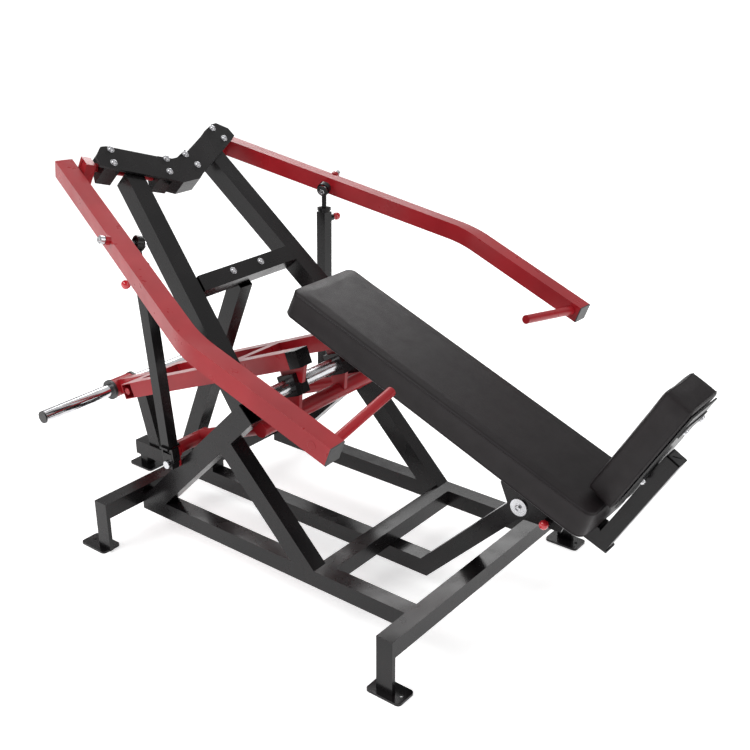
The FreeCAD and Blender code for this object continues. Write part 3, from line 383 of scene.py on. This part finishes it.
def applied(obj):
    graph = bpy.context.evaluated_depsgraph_get()
    graph.update()
    return bpy.data.meshes.new_from_object(obj.evaluated_get(graph))


def pad_block(name, size, corner, rim):
    # a block with rounded corners and rims
    bm = bmesh.new()
    bmesh.ops.create_cube(bm, size=1.0)
    for vert in bm.verts:
        vert.co = Vector([c * (s - 2 * SLACK) for c, s in zip(vert.co, size)])
    posts = [e for e in bm.edges
             if abs(e.verts[0].co.z - e.verts[1].co.z) > size[2] / 2]
    bmesh.ops.bevel(bm, geom=posts, offset=corner, segments=8, profile=0.5,
                    affect="EDGES")
    lid = [e for e in bm.edges
           if min(v.co.z for v in e.verts) > size[2] / 2 - SLACK - NEAR
           or max(v.co.z for v in e.verts) < SLACK - size[2] / 2 + NEAR]
    bmesh.ops.bevel(bm, geom=lid, offset=rim, segments=4, profile=0.6,
                    affect="EDGES")
    return mesh_from(name, bm)


def filled(work, mesh, size, cap):
    # the mesh swollen by pressure, each shift capped and evened out
    start = [v.co.copy() for v in mesh.vertices]
    work.modifiers.clear()
    work.data = mesh
    held = work.vertex_groups.new(name="held")
    held_below = -size[2] / 2 + SLACK + HELD_BAND
    held.add([i for i, p in enumerate(start) if p.z < held_below], 1.0, "REPLACE")
    cloth = work.modifiers.new("fill", "CLOTH")
    cloth.settings.vertex_group_mass = "held"
    cloth.settings.use_pressure = True
    cloth.settings.uniform_pressure_force = FILL_PRESSURE
    cloth.settings.effector_weights.gravity = 0.0
    cloth.settings.quality = 5
    cloth.collision_settings.use_collision = False
    cloth.point_cache.frame_start = 1
    cloth.point_cache.frame_end = FILL_FRAMES
    for step in range(1, FILL_FRAMES + 1):
        bpy.context.scene.frame_set(step)
    mesh = applied(work)
    bpy.context.scene.frame_set(1)
    shifts = np.array([vert.co - rest for vert, rest in zip(mesh.vertices, start)])
    lengths = np.maximum(np.linalg.norm(shifts, axis=1), 1e-9)
    shifts *= np.minimum(1.0, cap / lengths)[:, None]
    ends = np.array([edge.vertices[:] for edge in mesh.edges])
    degree = np.bincount(ends.ravel(), minlength=len(shifts))[:, None]
    for _ in range(EVEN_ROUNDS):
        near = np.zeros_like(shifts)
        np.add.at(near, ends[:, 0], shifts[ends[:, 1]])
        np.add.at(near, ends[:, 1], shifts[ends[:, 0]])
        shifts = (shifts + near / degree) / 2
    for vert, rest, shift in zip(mesh.vertices, start, shifts):
        vert.co = rest + Vector(shift)
    return mesh


def crowned(mesh, size):
    # the top rises slightly in the middle; no point is moved further out than
    # PROUD_SIDE or PROUD_TOP past the CAD pad
    half = [s / 2 for s in size]
    for vert in mesh.vertices:
        crown = (1 - (vert.co.x / half[0]) ** 4) * (1 - (vert.co.y / half[1]) ** 2)
        if vert.co.z > 0:
            vert.co.z += CROWN * max(0.0, crown) * vert.co.z / half[2]
        for axis in range(3):
            limit = half[axis] + (PROUD_SIDE if axis < 2 else PROUD_TOP)
            vert.co[axis] = max(-limit, min(limit, vert.co[axis]))
        vert.co.z = max(vert.co.z, -half[2])


def cushion(name, node, u, n, corner, rim, cap, voxel):
    points = node_points(node)
    y = n.cross(u)
    spans = [(min(p.dot(d) for p in points), max(p.dot(d) for p in points))
             for d in (u, y, n)]
    centre = sum((d * (a + b) / 2 for d, (a, b) in zip((u, y, n), spans)), Vector())
    size = [b - a for a, b in spans]
    turn = Matrix((u, y, n)).transposed().to_4x4()
    matrix = Matrix.Translation(centre) @ turn
    work = add_object(name + "_work", pad_block(name, size, corner, rim))
    skin = work.modifiers.new("skin", "REMESH")
    skin.mode = "VOXEL"
    skin.voxel_size = voxel
    mesh = applied(work)
    mesh = filled(work, mesh, size, cap)
    bpy.data.objects.remove(work)
    crowned(mesh, size)
    obj = piece(name, mesh, matrix, "bench", "pad_vinyl", 0, False)
    fine = obj.modifiers.new("fine", "SUBSURF")
    fine.levels = fine.render_levels = 1
    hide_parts(node)
    return obj, matrix, size


def rounded_loop(half_x, half_y, corner, z, step=0.008):
    # points round a rectangle with rounded corners
    points = []
    spots = ((1, 1, 0), (-1, 1, 90), (-1, -1, 180), (1, -1, 270))
    for sx, sy, start in spots:
        cx, cy = sx * (half_x - corner), sy * (half_y - corner)
        for k in range(9):
            a = math.radians(start + 90 * k / 8)
            points.append(Vector((cx + corner * math.cos(a),
                                  cy + corner * math.sin(a), z)))
    loop = []
    for a, b in zip(points, points[1:] + points[:1]):
        count = max(1, int((b - a).length / step))
        loop += [a.lerp(b, k / count) for k in range(count)]
    return loop


def beads(name, loops, radius, body, slot):
    # thin round beads laid along closed lists of points
    data = bpy.data.curves.new(name, "CURVE")
    data.dimensions = "3D"
    data.bevel_depth = radius
    data.bevel_resolution = 3
    data.materials.append(MATS[slot])
    for points in loops:
        line = data.splines.new("POLY")
        line.points.add(len(points) - 1)
        for spot, p in zip(line.points, points):
            spot.co = (*p, 1)
        line.use_cyclic_u = True
        line.use_smooth = True
    obj = add_object(name, data)
    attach(obj, body)


def sewn(name, pad, matrix, size, corner, drops):
    # welts where the top and side panels are sewn, following the pad
    loops = []
    for drop in drops:
        loop = []
        for p in rounded_loop(size[0] / 2, size[1] / 2, corner, size[2] / 2 - drop):
            _, near, normal, _ = pad.closest_point_on_mesh(p)
            loop.append(matrix @ (near + normal * WELT_LIFT))
        loops.append(loop)
    beads(name, loops, WELT_RADIUS, "bench", "pad_vinyl")


# pad, slopes, corner, rim, cap on the swelling, voxel, and the welts' drops
for word, u, n, corner, rim, cap, voxel, drops in (
        ("bench", BENCH_U, BENCH_N, 0.034, 0.008, 0.0045, 0.006, (0.007, 0.092)),
        ("seat", SEAT_U, SEAT_N, 0.010, 0.006, 0.005, 0.005, (0.006, 0.088))):
    pad, matrix, size = cushion(word + "_cushion", word + "_pad", u, n, corner,
                                rim, cap, voxel)
    sewn(word + "_welt", pad, matrix, size, corner, drops)


# ------------------------------------------------------------ tube plugs
PLUG_RISE = 0.0035
PLUG_CORNER = 0.006
# (width, height) of two rings inside the face: a raised lip, then a shallow dish
PLUG_RINGS = ((0.004, 0.0012), (0.006, -0.0006))
BASE_PLUG, SEAT_PLUG, ARM_PLUG = 0.0555, 0.0435, 0.0590
ARM_TAIL_WAY = (-0.902, -0.334, 0.274)      # of the left arm


def plug_mesh(name, width):
    # a moulded square plug with rounded corners and a dished face
    bm = bmesh.new()
    bmesh.ops.create_cube(bm, size=1.0)
    for vert in bm.verts:
        vert.co = Vector((vert.co.x * width, vert.co.y * width,
                          (vert.co.z + 0.5) * PLUG_RISE))
    upright = [e for e in bm.edges
               if abs(e.verts[0].co.z - e.verts[1].co.z) > PLUG_RISE / 2]
    bmesh.ops.bevel(bm, geom=upright, offset=PLUG_CORNER, segments=5, profile=0.5,
                    affect="EDGES")
    top = [f for f in bm.faces if f.normal.z > 0.9]
    for thickness, depth in PLUG_RINGS:
        bmesh.ops.inset_region(bm, faces=top, thickness=thickness, depth=depth)
    return mesh_from(name, bm)


def open_end(node, direction):
    # centre, normal and section direction of the cut end that faces a direction
    mesh = NODES[node].data
    d = Vector(direction).normalized()
    facing = [p for p in mesh.polygons if p.normal.dot(d) > 0.97]
    outer = max(facing, key=lambda p: p.center.dot(d))
    n = outer.normal.copy()

    def beyond(point):
        return (point - outer.center).dot(n)

    ring = [mesh.vertices[k].co for p in facing if beyond(p.center) > -0.0002
            for k in p.vertices]
    walls = [p for p in mesh.polygons if abs(p.normal.dot(n)) < 0.02
             and max(beyond(mesh.vertices[k].co) for k in p.vertices) > -0.001]
    across = max(walls, key=lambda p: p.area).normal.copy()
    side = n.cross(across)
    centre = n * outer.center.dot(n)
    for way in (across, side):
        spans = [p.dot(way) for p in ring]
        centre += way * (min(spans) + max(spans)) / 2
    return centre, n, across


def plug(name, node, direction, body, width, sink=0.0008, slot="black_plastic"):
    centre, n, across = open_end(node, direction)
    piece(name, plug_mesh(name, width), place(centre - n * sink, n, across), body,
          slot, 10)


plug("spine_plug", "spine", (-1, 0, 0), "base", BASE_PLUG)
plug("keel_plug", "bench_keel", -BENCH_U, "bench", BASE_PLUG)
plug("seat_leg_plug", "seat_leg", SEAT_U, "bench", SEAT_PLUG)
for word, side in SIDES:
    way = (ARM_TAIL_WAY[0], ARM_TAIL_WAY[1] * side, ARM_TAIL_WAY[2])
    plug("arm_tail_plug_" + word, "arm_" + word, way, "press_arm_" + word,
         ARM_PLUG, 0.0016, "lever_red")


# ------------------------------------------------------------ pull knobs
KNOB = ((0.0045, 0.0), (0.0075, 0.001), (0.0078, 0.004), (0.0062, 0.008),
        (0.0066, 0.011), (0.0105, 0.015), (0.0135, 0.0195), (0.0148, 0.025),
        (0.0147, 0.030), (0.0134, 0.0345), (0.0105, 0.0380), (0.0062, 0.0398),
        (0.0015, 0.0402))
KNOB_LENGTH = 0.0404
STEM = ((0.0052, 0.0), (0.0060, 0.0008), (0.0060, 0.0440), (0.0052, 0.0450))
STEM_LENGTH = 0.045
STEM_FOOT = 0.02        # rings below this height are not stretched
STEM_IN_KNOB = 0.030    # how far short of the knob's tip the stem ends


def knob(node, body, outward):
    points = node_points(node)
    d = Vector(outward).normalized()
    outer = end_centre(points, d)
    inner = end_centre(points, -d)
    reach = (outer - inner).length
    stem = [(r, h if h < STEM_FOOT else h / STEM_LENGTH * (reach - STEM_IN_KNOB))
            for r, h in STEM]
    shaft = piece(node + "_stem", lathe(node + "_stem", stem, 28), place(inner, d),
                  body, "bright_steel", 35)
    piece(node + "_knob", lathe(node + "_knob", KNOB, 40),
          place(outer - d * KNOB_LENGTH, d), body, "knob_red", 0)
    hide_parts(node)


for joint in frame["joints"]:
    if joint["name"].endswith("_pull"):
        node = RECORD["behaviour"]["bodies"][joint["child"]][0]
        knob(node, joint["child"], joint["axis"])


# ------------------------------------------------------------ weld plugs
# filled round holes on the outer faces of the arms' tips and of the lever beams
WELD_PLUG = ((0.0132, -0.0006), (0.0136, 0.0003), (0.0124, 0.0008),
             (0.0112, 0.0004), (0.0090, 0.0006), (0.0020, 0.0008))
TIP_BACK = 0.055        # from the arm's tip, back along the arm
TIP_OUT = 0.030         # half the arm's tube
for word, side in SIDES:
    run = Vector((0.9354, -0.0448 * side, -0.3510)).normalized()
    outward = Vector((0.0478, 0.9989 * side, 0.0)).normalized()
    tip = Vector((0.5203, 0.6790 * side, 0.8350))
    spot = tip - run * TIP_BACK + outward * TIP_OUT
    piece("arm_weld_plug_" + word, lathe("arm_weld_plug", WELD_PLUG, 40),
          place(spot, outward), "press_arm_" + word, "lever_red", 0)
    spot = Vector((-0.9797, 0.1510 * side, 0.4109))
    piece("beam_weld_plug_" + word, lathe("beam_weld_plug", WELD_PLUG, 40),
          place(spot, (0, side, 0)), "weight_lever", "lever_red", 0)


# ------------------------------------------------------------ rod-end shields
ARM_AXIS = Vector((-0.264, 0.924, 0.278)).normalized()
SHIELD = ((0.0085, 0.0), (0.0205, 0.0), (0.0215, 0.0008), (0.0215, 0.0016),
          (0.0190, 0.0026), (0.0120, 0.0030), (0.0085, 0.0030))
SHIELD_AT = 0.007
NUT = ((0.0118, 0.0), (0.0124, 0.0006), (0.0124, 0.0072), (0.0112, 0.0086),
       (0.0060, 0.0088), (0.0054, 0.0070), (0.0015, 0.0068))
NUT_AT = 0.006
NUT_FLATS = (0, 1, 2, 3)
for word, side in SIDES:
    axis = Vector((ARM_AXIS.x, ARM_AXIS.y * side, ARM_AXIS.z))
    inner = end_centre(node_points("arm_axle_" + word), -axis)
    body = "press_arm_" + word
    piece("eye_shield_" + word, lathe("eye_shield", SHIELD, 40),
          place(inner + axis * SHIELD_AT, axis), body, "black_plastic", 30)
    piece("axle_nut_" + word, lathe("axle_nut", NUT, 36, NUT_FLATS),
          place(inner + axis * NUT_AT, -axis), body, "bright_steel", 30)


# ------------------------------------------------------------ floor, light, camera
FLOOR_HALF = 30.0
FLOOR_DROP = 0.0005
WALL_RADIUS, WALL_HEIGHT = 16.0, 30.0


def grey(level):
    return (level, level, level)


def backdrop(name, bm, finish, cloud, glow):
    # a pale surface that glows, so that it stays even
    mesh = mesh_from(name, bm)
    obj = add_object(name, mesh)
    mat, tree, shader, at = new_material(finish, grey(0.93), 0.9)
    tie(tree, two_tone(tree, noise(tree, at, cloud), grey(0.92), grey(0.94)), shader,
        "Base Color")
    shader.inputs["Emission Color"].default_value = (1, 1, 1, 1)
    shader.inputs["Emission Strength"].default_value = glow
    mesh.materials.append(mat)
    return obj


def area_light(name, spot, target, size, power):
    data = bpy.data.lights.new(name, "AREA")
    data.shape = "RECTANGLE"
    data.size, data.size_y = size
    data.energy = power
    aim = (Vector(target) - Vector(spot)).to_track_quat("-Z", "Y")
    add_object(name, data).matrix_world = (Matrix.Translation(spot)
                                           @ aim.to_matrix().to_4x4())


bm = bmesh.new()
bmesh.ops.create_grid(bm, x_segments=1, y_segments=1, size=FLOOR_HALF)
floor = backdrop("studio_floor", bm, "pale_floor", 0.6, 0.52)
floor.location.z = -FLOOR_DROP

# pale wall all round, seen directly but left out of reflections and shadows
bm = bmesh.new()
bmesh.ops.create_cone(bm, cap_ends=False, segments=96, radius1=WALL_RADIUS,
                      radius2=WALL_RADIUS, depth=WALL_HEIGHT)
wall = backdrop("studio_wall", bm, "pale_wall", 0.4, 1.0)
wall.visible_glossy = False
wall.visible_diffuse = False
wall.visible_shadow = False

# a pale dome that darkens towards the horizon, so that round metal shows streaks
world = bpy.data.worlds.new("studio")
bpy.context.scene.world = world
world.use_nodes = True
sky = world.node_tree
heading = sky.nodes.new("ShaderNodeTexCoord")
split = sky.nodes.new("ShaderNodeSeparateXYZ")
sky.links.new(heading.outputs["Generated"], split.inputs["Vector"])
dome = sky.nodes.new("ShaderNodeValToRGB")
for stop, height, level in ((0, 0.02, 0.05), (1, 0.95, 0.90)):
    dome.color_ramp.elements[stop].position = height
    dome.color_ramp.elements[stop].color = (*grey(level), 1)
for height, level in ((0.20, 0.09), (0.36, 0.62)):
    dome.color_ramp.elements.new(height).color = (*grey(level), 1)
sky.links.new(split.outputs["Z"], dome.inputs["Fac"])
sky.links.new(dome.outputs["Color"], sky.nodes["Background"].inputs["Color"])
sky.nodes["Background"].inputs["Strength"].default_value = 0.85
area_light("key", (-1.5, -3.4, 4.2), (0, 0, 0.5), (3.0, 2.0), 105)
area_light("fill", (4.2, 0.5, 2.6), (0, 0, 0.6), (2.4, 2.4), 40)
area_light("rim", (-2.4, 3.2, 3.4), (0, 0, 0.8), (3.0, 1.4), 70)

camera = add_object("camera", bpy.data.cameras.new("camera"))
camera.data.sensor_width = 36.0
camera.data.lens = 53.01
camera.location = (2.1969, -2.6511, 2.1776)
camera.rotation_euler = (math.radians(66.62), 0, math.radians(37.99))
bpy.context.scene.camera = camera
bpy.context.scene.view_settings.view_transform = "Standard"
